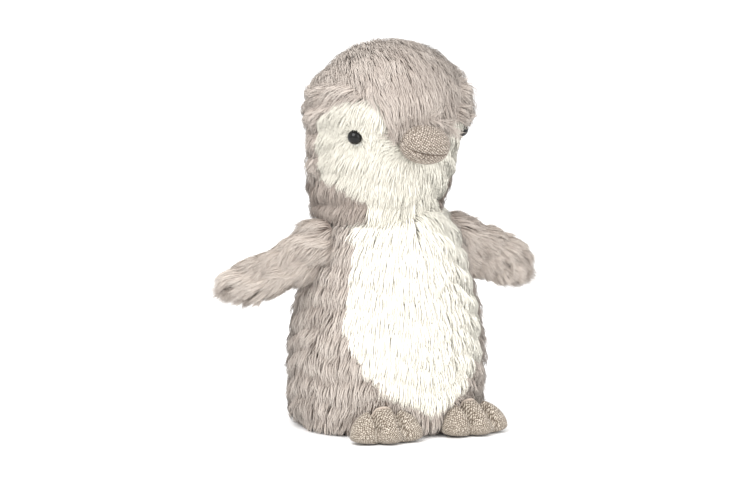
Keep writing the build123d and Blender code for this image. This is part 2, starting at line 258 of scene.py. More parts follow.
def curve_through(points):
    """A smooth curve through points, as a function of 0 to 1 (Catmull-Rom, by chord length)."""
    pts = np.array(points, float)
    pts = np.vstack([2 * pts[0] - pts[1], pts, 2 * pts[-1] - pts[-2]])
    chord = np.linalg.norm(np.diff(pts[1:-1], axis=0), axis=1)
    knots = np.concatenate([[0], np.cumsum(chord)]) / chord.sum()

    def at(s):
        s = np.clip(np.asarray(s, float), 0, 1)
        k = np.clip(np.searchsorted(knots, s, side="right") - 1, 0, len(knots) - 2)
        t = ((s - knots[k]) / (knots[k + 1] - knots[k]))[..., None]
        a, b, c, d = pts[k], pts[k + 1], pts[k + 2], pts[k + 3]
        square = 2 * a - 5 * b + 4 * c - d
        cube = 3 * b - a - 3 * c + d
        return 0.5 * (2 * b + (c - a) * t + square * t**2 + cube * t**3)

    return at


def turned(points, lean=((0, 0, 0),)):
    """A surface turned about a nearly vertical axis.

    It takes the turns round from the front towards the left, and the share of the way up.
    """
    side = curve_through(points)
    height, to_left, to_back = np.array(lean, float).T

    def at(a, b):
        profile = side(b)
        angle = 2 * math.pi * np.asarray(a)
        radius, z = profile[..., 0], profile[..., 1]
        x = np.interp(z, height, to_left) + radius * np.sin(angle)
        y = np.interp(z, height, to_back) - radius * np.cos(angle)
        return np.stack([x, y, z], axis=-1)

    return at


def wing_axes(side):
    """The wing's directions: along it, up across it, and out of its front face."""
    along = np.array(
        [
            side * math.cos(WING_SWEEP) * math.cos(WING_DROOP),
            math.sin(WING_SWEEP) * math.cos(WING_DROOP),
            -math.sin(WING_DROOP),
        ]
    )
    face = np.array([side * math.sin(WING_SWEEP), -math.cos(WING_SWEEP), 0.0])
    return along, np.cross(face, along) * side, face


def wing_root(side):
    hinge = joint_place("wing_left_flap" if side > 0 else "wing_right_flap")
    return hinge - np.array([0, 0, WING_DROP])


def wing_surface(side, sections):
    along, up, face = wing_axes(side)
    root = wing_root(side)
    section = curve_through(sections)

    def at(a, b):
        out, half_width, half_thickness = np.moveaxis(section(b), -1, 0)
        angle = side * 2 * math.pi * np.asarray(a)
        across = np.maximum(half_width, 0) * np.cos(angle) * WING_WIDE[side]
        through = np.maximum(half_thickness, 0) * np.sin(angle)
        across = across + WING_SAG[side] * ((out - WING_MIDDLE) / WING_END) ** 2
        out = out * WING_LONG[side]
        return root + along * out[..., None] + up * across[..., None] + face * through[..., None]

    return at


def beak_into_head(turn):
    """0 on the round front of the beak, up to 1 where its cloth ends inside the head."""
    return np.clip((np.abs(turn) - 90) / (BEAK_BACK - 90), 0, 1)


def beak_panel(high, low):
    """Part of the beak between two angles round its own axis, drawn in a little along the mouth seam.

    Past straight up and straight down, the cloth runs back into the head and narrows there.
    """

    def at(a, b):
        turn = high + (low - high) * np.asarray(a)
        reach = np.radians(BEAK_REACH * (2 * np.asarray(b) - 1))
        pinch = 1 - MOUTH_PINCH * hump(turn - MOUTH, MOUTH_PINCH_WIDTH)
        gather = np.sin(reach * MOUTH_PUCKER_RATE) * hump(turn - MOUTH, MOUTH_PUCKER_WIDTH)
        pucker = 1 + MOUTH_PUCKER * gather
        into_head = beak_into_head(turn)
        narrowed = 1 - BEAK_NARROWING * into_head**1.4
        radius = BEAK_HALF_DEPTH * np.cos(reach) ** BEAK_FULLNESS * pinch * pucker * narrowed
        turn = np.radians(np.clip(turn, -90, 90))
        left, up = BEAK_HALF_WIDTH * np.sin(reach) * narrowed, radius * np.sin(turn)
        rolled_left = left * math.cos(BEAK_ROLL) + up * math.sin(BEAK_ROLL)
        rolled_up = up * math.cos(BEAK_ROLL) - left * math.sin(BEAK_ROLL)
        back = BEAK_ROOT * into_head - radius * np.cos(turn)
        return BEAK + np.stack([rolled_left, back, rolled_up], axis=-1)

    return at


def unit(v):
    return v / np.maximum(np.linalg.norm(v, axis=-1, keepdims=True), 1e-9)


def normals_of(surface, a, b):
    """Outward normals, and the area that each bit of the parameters covers."""
    step = 1e-3
    round_it = surface(a + step, b) - surface(a - step, b)
    up_it = surface(a, np.minimum(b + step, 1)) - surface(a, np.maximum(b - step, 0))
    cross = np.cross(round_it, up_it)
    return unit(cross), np.linalg.norm(cross, axis=-1)


def scatter(surface, count, rng, keep):
    """Random points spread evenly over the part of a surface that keep(points) accepts."""
    roots, outs = [], []
    have = 0
    while have < count:
        a = rng.random(count * 4)
        b = rng.random(count * 4)
        normal, area = normals_of(surface, a, b)
        points = surface(a, b)
        chosen = (rng.random(len(a)) < area / area.max()) & keep(points)
        roots.append(points[chosen])
        outs.append(normal[chosen])
        have += int(chosen.sum())
    return np.concatenate(roots)[:count], np.concatenate(outs)[:count]


def front_angle(p):
    """Degrees round from the front, towards the left positive."""
    return np.degrees(np.arctan2(p[..., 0], -p[..., 1]))


# ---------------------------------------------------------------- where each panel is


def on_belly(p):
    inside = np.abs(p[..., 0]) < read(BELLY_EDGE, p[..., 2])
    return (p[..., 1] < 0) & inside & (p[..., 2] > BELLY_EDGE[0, 0])


def on_crown(p):
    across = np.abs(p[..., 0])
    in_front = (across < read(CROWN_EDGE, p[..., 2])) & (p[..., 2] > CROWN_EDGE[0, 0])
    return np.where(p[..., 1] < 0, in_front, across < read(CROWN_BACK, p[..., 2]))


def on_face(p):
    angle = np.abs(front_angle(p))
    top = read(FACE_TOP, angle) - COMBED_OVER * (p[..., 0] > 0)
    between = (p[..., 2] > read(CHIN_EDGE, angle)) & (p[..., 2] < top)
    return ~on_crown(p) & (angle < FACE_BACK) & between


def on_bib(p):
    return np.abs(front_angle(p)) < BIB_SIDE


def one_side(side, keep):
    return lambda p: keep(p) & (side * p[..., 0] >= 0)


def wing_half(side, turn):
    """The front of a wing, or its back where turn is -1."""
    root, (_, _, face) = wing_root(side), wing_axes(side)
    return lambda p: ((p - root) @ face) * turn >= 0


def everywhere(p):
    return np.ones(p.shape[:-1], bool)


def eye_places():
    """The middle of each bead, with how far round it the skin is bare."""
    out = []
    for side, clear in EYE_CLEAR.items():
        angle = math.radians(side * EYE_ANGLE)
        x, y = EYE_OUT * math.sin(angle), -EYE_OUT * math.cos(angle)
        out.append((np.array([x, y, EYE_HEIGHT]), clear))
    return out


def turned_away(flow, gap, weight, strength):
    """The flow where something parts the pile: gap points away from it, weight is 1 beside it."""
    return flow * (1 - weight)[:, None] + unit(gap) * (weight * strength)[:, None]


def part_round_features(p, flow):
    """Turns the pile away from the eyes and the beak, and says where it is short."""
    near = np.clip(1 - p[:, 2] / SHORT_BELOW, 0, 1)
    for side in (-1, 1):
        distance = np.linalg.norm(p - ANKLE * [side, 1, 1], axis=-1)
        near = np.maximum(near, ANKLE_SHORT[0] * fade(distance - ANKLE_RADIUS, ANKLE_SHORT[1]))
    # In front of the left eye the pile isn't turned and is longer, so it lies partly over the bead.
    for place, clear in eye_places():
        gap = p - place
        distance = np.linalg.norm(gap, axis=-1)
        weight = fade(distance - clear, EYE_PARTING[1])
        if place[0] > 0:
            weight = weight * (gap[:, 1] > 0)
            near = near - EYE_FRINGE[0] * hump(distance, EYE_FRINGE[1]) * (gap[:, 1] < 0)
        flow = turned_away(flow, gap, weight, EYE_PARTING[0])
        near = np.maximum(near, weight)
    gap = (p - BEAK) * np.array([1 / BEAK_HALF_WIDTH, 0, 1 / BEAK_HALF_DEPTH])
    distance = (np.linalg.norm(gap, axis=-1) - 1) * BEAK_HALF_DEPTH
    weight = fade(distance, BEAK_PARTING[1]) * (p[:, 1] < FACE_DEPTH)
    flow = turned_away(flow, gap, weight, BEAK_PARTING[0])
    return flow, np.maximum(near, weight * BEAK_SHORT)


def clear_of_features(p):
    """No strand grows where an eye or the beak stands."""
    ok = everywhere(p)
    for place, clear in eye_places():
        ok &= np.linalg.norm(p - place, axis=-1) > clear
    across, high = p[..., 0] / BEAK_STEM[0], (p[..., 2] - BEAK[2]) / BEAK_STEM[1]
    return ok & ~((across**2 + high**2 < 1) & (p[..., 1] < FACE_DEPTH))


# ---------------------------------------------------------------- which way the pile lies


def down(p):
    return np.tile([0.0, 0.0, -1.0], (len(p), 1))


def away(p):
    """The level direction along the skin, from the front round towards the back."""
    angle = np.arctan2(p[:, 0], -p[:, 1])
    turn = np.sign(angle)
    return np.stack([np.cos(angle) * turn, np.sin(angle) * turn, np.zeros(len(p))], axis=-1)


def torso_flow(p):
    """Down and a little back, swaying from place to place."""
    sway = 0.12 * np.sin(p[:, 2] * 0.13 + p[:, 0] * 0.1 + p[:, 1] * 0.07) + 0.16
    return down(p) + away(p) * sway[:, None]


def belly_flow(p):
    """Down, and outward towards the belly's sides and the neck."""
    sway = np.abs(p[:, 0]) / 260 + 0.25 * np.clip((p[:, 2] - 96) / 12, 0, 1)
    return down(p) + away(p) * sway[:, None]


def crown_flow(p):
    """Forward and down in front of the whorl, back and down behind it."""
    ahead = np.clip((WHORL_BACK - p[:, 1]) / 12, -1, 1)
    forward = np.stack([p[:, 0] * 0.012, -ahead, np.zeros(len(p))], axis=-1)
    return forward + down(p) * 0.8


def side_flow(p):
    """Down at the neck, and more and more backward up the side of the head."""
    high = np.clip((p[:, 2] - 125) / 35, 0, 1)[:, None]
    return down(p) * (1 - 0.3 * high) + away(p) * (0.15 + 0.65 * high)


def face_flow(p):
    """Down beside the beak, and backward over the cheek."""
    back = np.clip((np.abs(front_angle(p)) - 15) / 60, 0, 1)
    return down(p) + away(p) * (0.7 * back)[:, None]


def wing_flow(side):
    """Along the wing to its tip and a little down."""
    along, up, _ = wing_axes(side)
    root = wing_root(side)

    def at(p):
        rise = ((p - root) @ up) / 10
        return along - up * (0.3 - 0.28 * rise)[:, None]

    return at


# ---------------------------------------------------------------- strands

# A strand has three rings of three corners and a tip. Its faces name its ten vertices, ring by ring.
SIDES = 3
RING_WIDTHS = (0.5, 0.5, 0.38)
STRAND_FLATNESS = 0.8
RING_WAYS = np.array([0.0, 0.36, 0.72, 1.0])  # from root to tip
RING_OF_VERTEX = np.array([0, 0, 0, 1, 1, 1, 2, 2, 2, 3])
STRAND_VERTICES = len(RING_OF_VERTEX)
TIP = STRAND_VERTICES - 1
STRAND_FACES = []
for low in (0, SIDES):
    for corner in range(SIDES):
        after = (corner + 1) % SIDES
        STRAND_FACES.append((low + corner, low + SIDES + corner, low + SIDES + after, low + after))
for corner in range(SIDES):
    STRAND_FACES.append((TIP - SIDES + corner, TIP, TIP - SIDES + (corner + 1) % SIDES))
STRAND_FACES.append((0, 1, 2))


def nearest(points, centres, at_once=2000):
    """For each point, the number of its nearest centre."""
    out = np.empty(len(points), int)
    for start in range(0, len(points), at_once):
        part = points[start : start + at_once]
        gap = ((part[:, None] - centres[None]) ** 2).sum(-1)
        out[start : start + at_once] = gap.argmin(1)
    return out


def lay_strands(
    roots, normals, flow, near, rng, length, lift, lock, spread, gather, tiers, curve, tone, uneven
):
    """Four points along each strand, and its tone."""
    count = len(roots)
    centres = rng.choice(count, max(4, count // lock), replace=False)
    lock_of = nearest(roots, roots[centres])
    locks = len(centres)
    turn = rng.normal(0, spread, locks)[lock_of] + rng.normal(0, STRAY, count)
    wander = 0.35 * np.sin(roots[:, 0] * 0.16 + roots[:, 1] * 0.11)
    row = np.sin(2 * math.pi * (roots[:, 2] / ROW_PITCH + wander))
    reach = length * rng.uniform(*LOCK_LENGTHS, locks)[lock_of] * rng.uniform(*STRAND_LENGTHS, count)
    reach = reach * (1 - SHORT_LENGTH * near)
    rise = lift * rng.uniform(*LOCK_LIFTS, locks)[lock_of] * rng.uniform(*STRAND_LIFTS, count)
    rise = rise * (1 - SHORT_LIFT * near) * (1 + tiers * row)
    # Where the skin ends across the flow, as at a wing's tip, the strands stand straight out as tufts.
    flow = unit(flow)
    slide = np.minimum((flow * normals).sum(-1, keepdims=True), STEEPEST)
    tangent = unit(flow - slide * normals)
    side = np.cross(normals, tangent)
    lean = tangent * np.cos(turn)[:, None] + side * np.sin(turn)[:, None]
    pull = roots[centres][lock_of] - roots
    pull -= (pull * normals).sum(-1, keepdims=True) * normals
    pull -= (pull * lean).sum(-1, keepdims=True) * lean
    paths = np.empty((count, len(STRAND_PATH), 3))
    for k, (along, high, close) in enumerate(STRAND_PATH):
        s = (reach * along)[:, None]
        above = (rise * high)[:, None] - s**2 / (2 * curve)
        paths[:, k] = roots + lean * s + normals * above
        paths[:, k] += pull * (gather * close)
    paths[..., 2] = np.maximum(paths[..., 2], FLOOR_GAP)
    tones = rng.normal(0, LOCK_TONES, locks)[lock_of] + rng.normal(0, STRAND_TONES, count)
    # Rows whose strands lift higher are painted lighter, as painted light on the raised tiers.
    tones = tones + 0.5 * tiers * row
    return paths, np.clip(tone(roots) + uneven * tones, 0.02, 0.98)


def strand_mesh(paths, normals, width, curve, roundness):
    """Vertices of closed strands that taper to a point, and soft normals that follow the skin."""
    heading = unit(paths[:, (1, 2, 3)] - paths[:, (0, 0, 1)])
    across = unit(np.cross(heading, normals[:, None]))
    above = np.cross(across, heading)
    vertices = np.empty((len(paths), STRAND_VERTICES, 3))
    shades = np.empty_like(vertices)
    leaned = normals[:, None] + (paths - paths[:, :1]) / curve
    for corner in range(SIDES):
        angle = 2 * math.pi * corner / SIDES - math.pi / 2
        offset = across * math.cos(angle) + above * math.sin(angle) * STRAND_FLATNESS
        for ring, thick in enumerate(RING_WIDTHS):
            vertices[:, ring * SIDES + corner] = paths[:, ring] + offset[:, ring] * thick * width
            shades[:, ring * SIDES + corner] = leaned[:, ring] + offset[:, ring] * roundness
    vertices[:, TIP] = paths[:, 3]
    shades[:, TIP] = leaned[:, 3] + heading[:, 2] * roundness
    return vertices.reshape(-1, 3), unit(shades.reshape(-1, 3))


# ---------------------------------------------------------------- meshes

CLOTH_UV = "cloth"
PILE_UV = "OFBake"
UV_MARGIN = 0.02
# The skin takes a dark colour near the roots', as painted shade in the gaps between strands.
SKIN_SHADE_TONE = (0.45, 0.1)  # the skin's place in the pile's colours: (tone, way along a strand)


def sheet_patch(surface, keep=None, across=96, up=48, thickness=0.8, wrap=True):
    """A closed sheet from the cells of a surface whose middles keep() accepts.

    Gives its vertices, faces, normals, and each vertex's place on the surface.
    """
    columns = across if wrap else across + 1
    a, b = np.meshgrid(np.arange(columns) / across, np.arange(up + 1) / up, indexing="ij")
    outer = surface(a, b)
    normal, _ = normals_of(surface, a, b)
    inner = outer - normal * thickness
    kept = np.ones((across, up), bool)
    if keep:
        half_way = (np.arange(across) + 0.5) / across, (np.arange(up) + 0.5) / up
        kept = keep(surface(*np.meshgrid(*half_way, indexing="ij")))
    number = -np.ones((2, columns, up + 1), int)
    vertices, shades, faces, places = [], [], [], []

    def vertex(layer, i, j):
        i %= columns
        if number[layer, i, j] < 0:
            number[layer, i, j] = len(vertices)
            vertices.append((outer, inner)[layer][i, j])
            shades.append(normal[i, j] * (1, -1)[layer])
            places.append((i / across, j / up))
        return number[layer, i, j]

    def is_kept(i, j):
        if wrap:
            i %= across
        return 0 <= i < across and 0 <= j < up and kept[i, j]

    for i, j in zip(*np.nonzero(kept)):
        ring = ((i, j), (i + 1, j), (i + 1, j + 1), (i, j + 1))
        neighbours = ((i, j - 1), (i + 1, j), (i, j + 1), (i - 1, j))
        faces.append([vertex(0, *c) for c in ring])
        faces.append([vertex(1, *c) for c in reversed(ring)])
        for p, q, beside in zip(ring, ring[1:] + ring[:1], neighbours):
            if not is_kept(*beside):
                faces.append([vertex(0, *q), vertex(0, *p), vertex(1, *p), vertex(1, *q)])
    return np.array(vertices), faces, np.array(shades), np.array(places)


def link(name, mesh, material):
    mesh.materials.append(material)
    made = bpy.data.objects.new(name, mesh)
    bpy.context.scene.collection.objects.link(made)
    return made


def cloth_object(name, vertices, faces, material, cut=None):
    """A smooth mesh. Where cut is given, it is each vertex's place on the flat cloth, in millimetres."""
    mesh = bpy.data.meshes.new(name)
    mesh.from_pydata([tuple(v) for v in np.asarray(vertices) * MM], [], [tuple(f) for f in faces])
    mesh.polygons.foreach_set("use_smooth", np.ones(len(mesh.polygons), bool))
    if cut is not None:
        corners = np.empty(len(mesh.loops), np.int32)
        mesh.loops.foreach_get("vertex_index", corners)
        layer = mesh.uv_layers.new(name=CLOTH_UV)
        layer.data.foreach_set("uv", cut[corners].reshape(-1).astype(np.float32))
    mesh.update()
    return link(name, mesh, material)


def flat_faces(faces):
    """The vertex numbers of all faces in one row, and each face's size."""
    return np.concatenate([np.array(f) for f in faces]), np.array([len(f) for f in faces])


def pile_object(name, strands, shades, tone, skin, material):
    """One mesh of strands standing on a skin. Its UVs hold each strand's tone and the way along it."""
    count = len(tone)
    skin_vertices, skin_faces, skin_shades, _ = skin
    template, sizes = flat_faces(STRAND_FACES)
    skin_loops, skin_sizes = flat_faces(skin_faces)
    strand_loops = (template[None] + STRAND_VERTICES * np.arange(count)[:, None]).reshape(-1)
    loops = np.concatenate([strand_loops, skin_loops + len(strands)])
    totals = np.concatenate([np.tile(sizes, count), skin_sizes])
    starts = np.concatenate([[0], np.cumsum(totals)[:-1]])
    way = np.tile(RING_WAYS[RING_OF_VERTEX[template]], count) * (1 - 2 * UV_MARGIN) + UV_MARGIN
    strand_uv = np.stack([np.repeat(tone, len(template)), way], axis=-1)
    uv = np.concatenate([strand_uv, np.tile([SKIN_SHADE_TONE], (len(skin_loops), 1))])
    points = np.concatenate([strands, skin_vertices]) * MM

    mesh = bpy.data.meshes.new(name)
    mesh.vertices.add(len(points))
    mesh.vertices.foreach_set("co", points.reshape(-1).astype(np.float32))
    mesh.loops.add(len(loops))
    mesh.loops.foreach_set("vertex_index", loops.astype(np.int32))
    mesh.polygons.add(len(starts))
    mesh.polygons.foreach_set("loop_start", starts.astype(np.int32))
    mesh.polygons.foreach_set("loop_total", totals.astype(np.int32))
    mesh.polygons.foreach_set("use_smooth", np.ones(len(starts), bool))
    layer = mesh.uv_layers.new(name=PILE_UV)
    layer.data.foreach_set("uv", uv.reshape(-1).astype(np.float32))
    mesh.update(calc_edges=True)
    mesh.normals_split_custom_set_from_vertices(np.concatenate([shades, skin_shades]))
    return link(name, mesh, material)


# ---------------------------------------------------------------- materials


def srgb(red, green, blue):
    """A colour given as 0 to 255 display values, in linear light."""
    out = []
    for value in (red, green, blue):
        v = value / 255
        out.append(v / 12.92 if v <= 0.04045 else ((v + 0.055) / 1.055) ** 2.4)
    return (*out, 1.0)


def new_material(name, roughness, specular=0.5, sheen=0.0):
    material = bpy.data.materials.new(name)
    material.use_nodes = True
    shader = material.node_tree.nodes["Principled BSDF"]
    shader.inputs["Roughness"].default_value = roughness
    shader.inputs["Specular IOR Level"].default_value = specular
    shader.inputs["Sheen Weight"].default_value = sheen
    return material, material.node_tree, shader


def ramp(tree, *stops):
    node = tree.nodes.new("ShaderNodeValToRGB")
    while len(node.color_ramp.elements) < len(stops):
        node.color_ramp.elements.new(0.5)
    for element, (position, colour) in zip(node.color_ramp.elements, stops):
        element.position = position
        element.color = colour
    return node


def multiply(tree, first, second):
    mix = tree.nodes.new("ShaderNodeMix")
    mix.data_type = "RGBA"
    mix.blend_type = "MULTIPLY"
    mix.inputs["Factor"].default_value = 1.0
    tree.links.new(first, mix.inputs["A"])
    tree.links.new(second, mix.inputs["B"])
    return mix.outputs["Result"]


def pile_material(name, root, halfway, tip, darkest):
    """Colour runs from root to tip, darker at the root and lighter at the tip as painted shade deep in
    the pile and painted light on the tips, and differs a little from strand to strand.
    """
    material, tree, shader = new_material(name, 0.8, specular=0.1)
    uv = tree.nodes.new("ShaderNodeUVMap")
    uv.uv_map = PILE_UV
    split = tree.nodes.new("ShaderNodeSeparateXYZ")
    tree.links.new(uv.outputs["UV"], split.inputs[0])
    way = ramp(tree, (0.0, root), (0.45, halfway), (1.0, tip))
    tone = ramp(tree, (0.0, darkest), (1.0, (1, 1, 1, 1)))
    tree.links.new(split.outputs["Y"], way.inputs["Fac"])
    tree.links.new(split.outputs["X"], tone.inputs["Fac"])
    colour = multiply(tree, way.outputs["Color"], tone.outputs["Color"])
    tree.links.new(colour, shader.inputs["Base Color"])
    return material


def woven_material(name, light, dark, angle, pitch):
    """A plain weave on the cut of the cloth: slubby threads at right angles, a pitch in mm apart."""
    material, tree, shader = new_material(name, 0.85, specular=0.15, sheen=0.1)
    nodes, links = tree.nodes, tree.links
    place = nodes.new("ShaderNodeUVMap")
    place.uv_map = CLOTH_UV
    mapping = nodes.new("ShaderNodeMapping")
    mapping.inputs["Rotation"].default_value[2] = math.radians(angle)
    mapping.inputs["Scale"].default_value = (1 / pitch,) * 3
    links.new(place.outputs["UV"], mapping.inputs["Vector"])
    waves = []
    for direction in ("X", "Y"):
        wave = nodes.new("ShaderNodeTexWave")
        wave.bands_direction = direction
        wave.inputs["Scale"].default_value = math.pi / 10
        wave.inputs["Distortion"].default_value = 6.0
        wave.inputs["Detail"].default_value = 4.0
        wave.inputs["Detail Scale"].default_value = 2.6
        links.new(mapping.outputs["Vector"], wave.inputs["Vector"])
        waves.append(wave.outputs["Fac"])
    weave = nodes.new("ShaderNodeMath")
    weave.operation = "MULTIPLY"
    links.new(waves[0], weave.inputs[0])
    links.new(waves[1], weave.inputs[1])
    slub = nodes.new("ShaderNodeTexNoise")
    slub.inputs["Scale"].default_value = 1.1
    slub.inputs["Detail"].default_value = 4.0
    links.new(mapping.outputs["Vector"], slub.inputs["Vector"])
    threads = ramp(tree, (0.0, dark), (0.55, light))
    links.new(weave.outputs["Value"], threads.inputs["Fac"])
    uneven = ramp(tree, (0.38, (0.55, 0.52, 0.49, 1)), (0.6, (1, 1, 1, 1)))
    links.new(slub.outputs["Fac"], uneven.inputs["Fac"])
    colour = multiply(tree, threads.outputs["Color"], uneven.outputs["Color"])
    links.new(colour, shader.inputs["Base Color"])
    bump = nodes.new("ShaderNodeBump")
    bump.inputs["Strength"].default_value = 0.6
    bump.inputs["Distance"].default_value = 0.3 * MM
    links.new(weave.outputs["Value"], bump.inputs["Height"])
    links.new(bump.outputs["Normal"], shader.inputs["Normal"])
    return material


def plain_material(name, light, dark, grain, roughness, bumpy=0.2, specular=0.3):
    """An even material with a fine mottle of the given grain in millimetres."""
    material, tree, shader = new_material(name, roughness, specular=specular)
    place = tree.nodes.new("ShaderNodeTexCoord")
    noise = tree.nodes.new("ShaderNodeTexNoise")
    noise.inputs["Scale"].default_value = 1 / (grain * MM)
    noise.inputs["Detail"].default_value = 3.0
    tree.links.new(place.outputs["Object"], noise.inputs["Vector"])
    mottle = ramp(tree, (0.35, dark), (0.65, light))
    tree.links.new(noise.outputs["Fac"], mottle.inputs["Fac"])
    tree.links.new(mottle.outputs["Color"], shader.inputs["Base Color"])
    bump = tree.nodes.new("ShaderNodeBump")
    bump.inputs["Strength"].default_value = bumpy
    bump.inputs["Distance"].default_value = 0.1 * grain * MM
    tree.links.new(noise.outputs["Fac"], bump.inputs["Height"])
    tree.links.new(bump.outputs["Normal"], shader.inputs["Normal"])
    return material


# In both piles the darker root colour is painted shade deep in the pile, and the lighter tip colour is
# painted light.
TAUPE = pile_material(
    "taupe_pile",
    root=srgb(168, 153, 143),
    halfway=srgb(207, 196, 186),
    tip=srgb(222, 213, 204),
    darkest=(0.6, 0.57, 0.56, 1),
)
WHITE = pile_material(
    "white_pile",
    root=srgb(249, 244, 231),
    halfway=srgb(254, 250, 237),
    tip=srgb(255, 251, 238),
    darkest=(0.7, 0.695, 0.685, 1),
)
BEAK_LINEN = woven_material(
    "beak_linen", srgb(212, 201, 189), srgb(112, 101, 91), angle=24, pitch=1.15
)
FOOT_LINEN = woven_material(
    "foot_linen", srgb(222, 212, 198), srgb(114, 102, 90), angle=40, pitch=1.05
)
THREAD = plain_material("thread", srgb(112, 98, 87), srgb(84, 72, 64), grain=0.3, roughness=0.8)
WELT = plain_material(
    "welt_cloth", srgb(196, 183, 170), srgb(164, 150, 138), grain=0.5, roughness=0.85
)
BASE_CLOTH = plain_material(
    "base_cloth", srgb(176, 161, 151), srgb(146, 131, 121), grain=0.6, roughness=0.9, bumpy=0.8
)
EYE_GLASS = plain_material(
    "eye_bead", srgb(14, 12, 11), srgb(8, 7, 7), grain=1.2, roughness=0.05, bumpy=0.02
)
FILLING = plain_material(
    "fibre_filling", srgb(246, 245, 242), srgb(224, 222, 218), grain=2.0, roughness=0.95, bumpy=0.8
)
WASHER = plain_material(
    "washer_plastic", srgb(236, 236, 232), srgb(220, 220, 214), grain=1.0, roughness=0.4
)
POUCH = plain_material(
    "pouch_cloth", srgb(238, 236, 230), srgb(214, 211, 203), grain=0.4, roughness=0.9, bumpy=0.6
)
PELLETS = plain_material(
    "pellets", srgb(232, 233, 230), srgb(210, 212, 208), grain=1.5, roughness=0.35
)

# ---------------------------------------------------------------- plush


def even_tone(value):
    return lambda p: np.full(len(p), value)


def painted_chin_shade(p):
    """Tone of the head's sides: painted shade, darker under the chin."""
    return 0.5 - 0.85 * np.clip((133 - p[:, 2]) / 8, 0, 1)


def painted_cheek_shade(p):
    """Tone of the white face: painted shade, darker than the belly all over and darker still towards the
    back of the cheek.
    """
    return 0.32 - 0.4 * np.clip((np.abs(front_angle(p)) - 32) / 36, 0, 1)


USUAL_PILE = {
    "lift": PILE_LIFT,
    "length": PILE_LENGTH,
    "width": PILE_WIDTH,
    "lock": 60,  # strands in a lock
    "spread": 0.15,  # radians that locks turn from the flow
    "gather": 0.2,  # how far strands close up towards their lock's middle
    "tiers": 0.3,  # how much the rows show
    "curve": 45.0,  # radius that the skin curves away with
    "tone": even_tone(0.72),
    "uneven": 1.0,  # how much the tone differs between strands
    "roundness": 0.45,  # how much light picks out single strands
}


def coat(name, surface, keep, flow, material, count, seed, **how):
    """The mesh of one plush panel: its pile on its skin."""
    rng = np.random.default_rng(seed)
    settings = USUAL_PILE | how
    width, roundness = settings.pop("width"), settings.pop("roundness")
    roots, normals = scatter(surface, count, rng, lambda p: keep(p) & clear_of_features(p))
    lie, near = part_round_features(roots, flow(roots))
    paths, tone = lay_strands(roots, normals, lie, near, rng, **settings)
    strands, shades = strand_mesh(paths, normals, width, settings["curve"], roundness)
    return pile_object(name, strands, shades, tone, sheet_patch(surface, keep), material)


def dress(piece, body, slot, *nodes):
    """The piece rides on a body and stands for CAD nodes."""
    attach(piece, body)
    if nodes:
        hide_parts(*nodes)
    return piece


def plush(piece, body, slot, *nodes, fill=0.7):
    return dress(piece, body, slot, *nodes)


# The left side of the head is brushed up into tufts
RUFFLED = {"length": 12.5, "lift": 5.2, "lock": 40, "spread": 0.34, "gather": 0.42}

TORSO = turned(TORSO_SKIN)
NECK = turned(NECK_SKIN, HEAD_LEAN)
HEAD = turned(HEAD_SKIN, HEAD_LEAN)

plush(
    coat(
        "plush_belly",
        TORSO,
        on_belly,
        belly_flow,
        WHITE,
        count=12200,
        seed=1,
        width=0.62,
        lift=3.6,
        spread=0.05,
        gather=0.02,
        tiers=0.35,
        lock=30,
        tone=even_tone(0.9),
        uneven=0.4,
        roundness=0.12,
    ),
    "torso",
    "white_plush",
    "belly_panel",
    "torso_stuffing",
)
for side, word in ((1, "left"), (-1, "right")):
    back = one_side(side, lambda p: ~on_belly(p))
    plush(
        coat(
            f"plush_back_{word}",
            TORSO,
            back,
            torso_flow,
            TAUPE,
            count=12400,
            seed=2 + side,
            width=0.42,
            uneven=1.3,
            roundness=0.3,
        ),
        "torso",
        "taupe_plush",
        f"back_panel_{word}",
    )
    cheek = one_side(side, lambda p: ~on_crown(p) & ~on_face(p))
    plush(
        coat(
            f"plush_head_side_{word}",
            HEAD,
            cheek,
            side_flow,
            TAUPE,
            count=9000,
            seed=6 + side,
            tone=painted_chin_shade,
            **(RUFFLED if side > 0 else {}),
        ),
        "head",
        "taupe_plush",
        f"head_side_{word}",
    )
    plush(
        coat(
            f"plush_face_{word}",
            HEAD,
            one_side(side, on_face),
            face_flow,
            WHITE,
            count=8500,
            seed=9 + side,
            width=0.45,
            length=9.5,
            lift=3.6,
            spread=0.1,
            gather=0.06,
            tiers=0.25,
            tone=painted_cheek_shade,
            uneven=0.6,
            roundness=0.12,
        ),
        "head",
        "white_plush",
        f"face_panel_{word}",
    )
plush(
    coat(
        "plush_crown",
        HEAD,
        on_crown,
        crown_flow,
        TAUPE,
        count=12400,
        seed=12,
        length=12.5,
        lift=4.2,
        spread=0.08,
        gather=0.08,
        tiers=0.12,
        tone=even_tone(0.55),
        uneven=0.7,
        roundness=0.3,
    ),
    "head",
    "taupe_plush",
    "crown_gusset",
    "head_stuffing",
)

# The nape's tone, below the usual, is painted shade under the chin.
for name, keep, material, slot_name, count, tone in (
    ("neck_bib", on_bib, WHITE, "white_plush", 2500, 0.5),
    ("neck_nape", lambda p: ~on_bib(p), TAUPE, "taupe_plush", 6000, -0.1),
):
    pile = {"length": 10.0, "lift": 3.8, "tone": even_tone(tone)}
    sleeve = coat(name, NECK, keep, belly_flow, material, count, 20 + count, **pile)
    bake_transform(sleeve)

